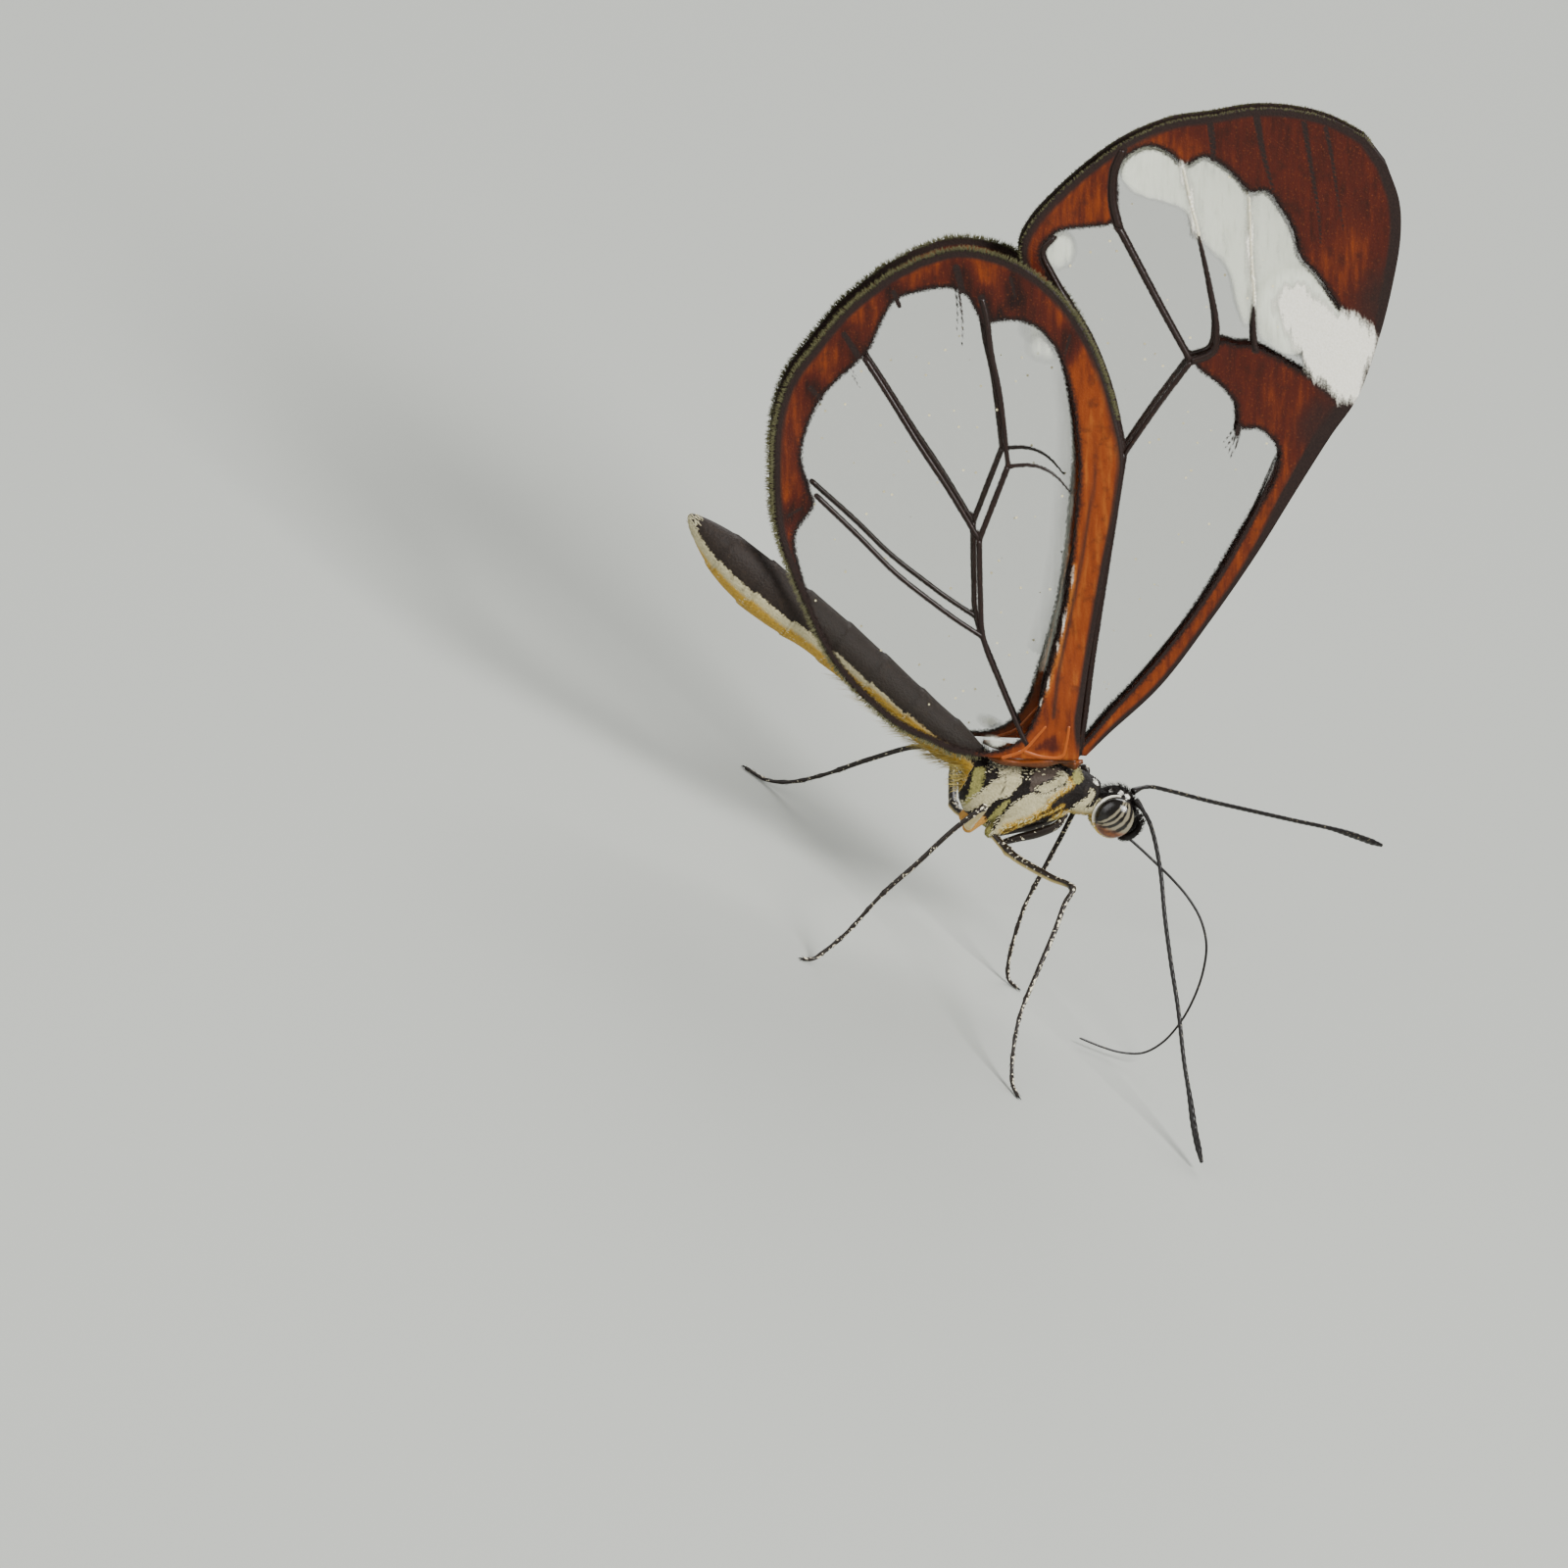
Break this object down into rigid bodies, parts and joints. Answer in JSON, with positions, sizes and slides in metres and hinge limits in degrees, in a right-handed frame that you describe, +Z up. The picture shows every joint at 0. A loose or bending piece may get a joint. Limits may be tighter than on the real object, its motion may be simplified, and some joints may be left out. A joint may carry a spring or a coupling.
{
  "type": "glasswing butterfly",
  "caption": "Glasswing butterfly, still and life-size, standing on its feet with its clear, rust-bordered wings closed over its back, for display.",
  "frame": {"origin": "On the floor, under the middle of the whole butterfly's bounding box.", "axes": "+X forward toward the head, +Y to the animal's left, +Z up. The feet stand on z = 0."},
  "size_m": [0.0374, 0.0226, 0.0416],
  "materials": {
    "dark_cuticle": "satin dark brown-black cuticle with a few pale scales",
    "eye": "glossy grey-cream with dark wavy stripes",
    "cream_scales": "matt cream and yellow scales over dark skin",
    "thorax_scales": "cream patches between black stripes, scaled",
    "abdomen_scales": "dark brown above, cream-yellow below, scaled",
    "wing": "clear film with rust, black and white scales on its borders and veins"
  },
  "bodies": {
    "root": {"head": "dark_cuticle", "eye_right": "eye", "eye_left": "eye", "palp_right": "cream_scales", "palp_left": "cream_scales", "thorax": "thorax_scales", "prothorax": "cream_scales", "abdomen": "abdomen_scales", "proboscis_base": "dark_cuticle", "proboscis_bend": "dark_cuticle", "proboscis_tip": "dark_cuticle", "antenna_right": "dark_cuticle", "antenna_left": "dark_cuticle", "foreleg_right": "dark_cuticle", "foreleg_left": "dark_cuticle", "midleg_right_upper": "dark_cuticle", "midleg_right_lower": "dark_cuticle", "midleg_left_upper": "dark_cuticle", "midleg_left_lower": "dark_cuticle", "hindleg_right_upper": "dark_cuticle", "hindleg_right_lower": "dark_cuticle", "hindleg_left_upper": "dark_cuticle", "hindleg_left_lower": "dark_cuticle", "forewing_right": "wing", "forewing_left": "wing", "hindwing_right": "wing", "hindwing_left": "wing"}
  },
  "joints": []
}
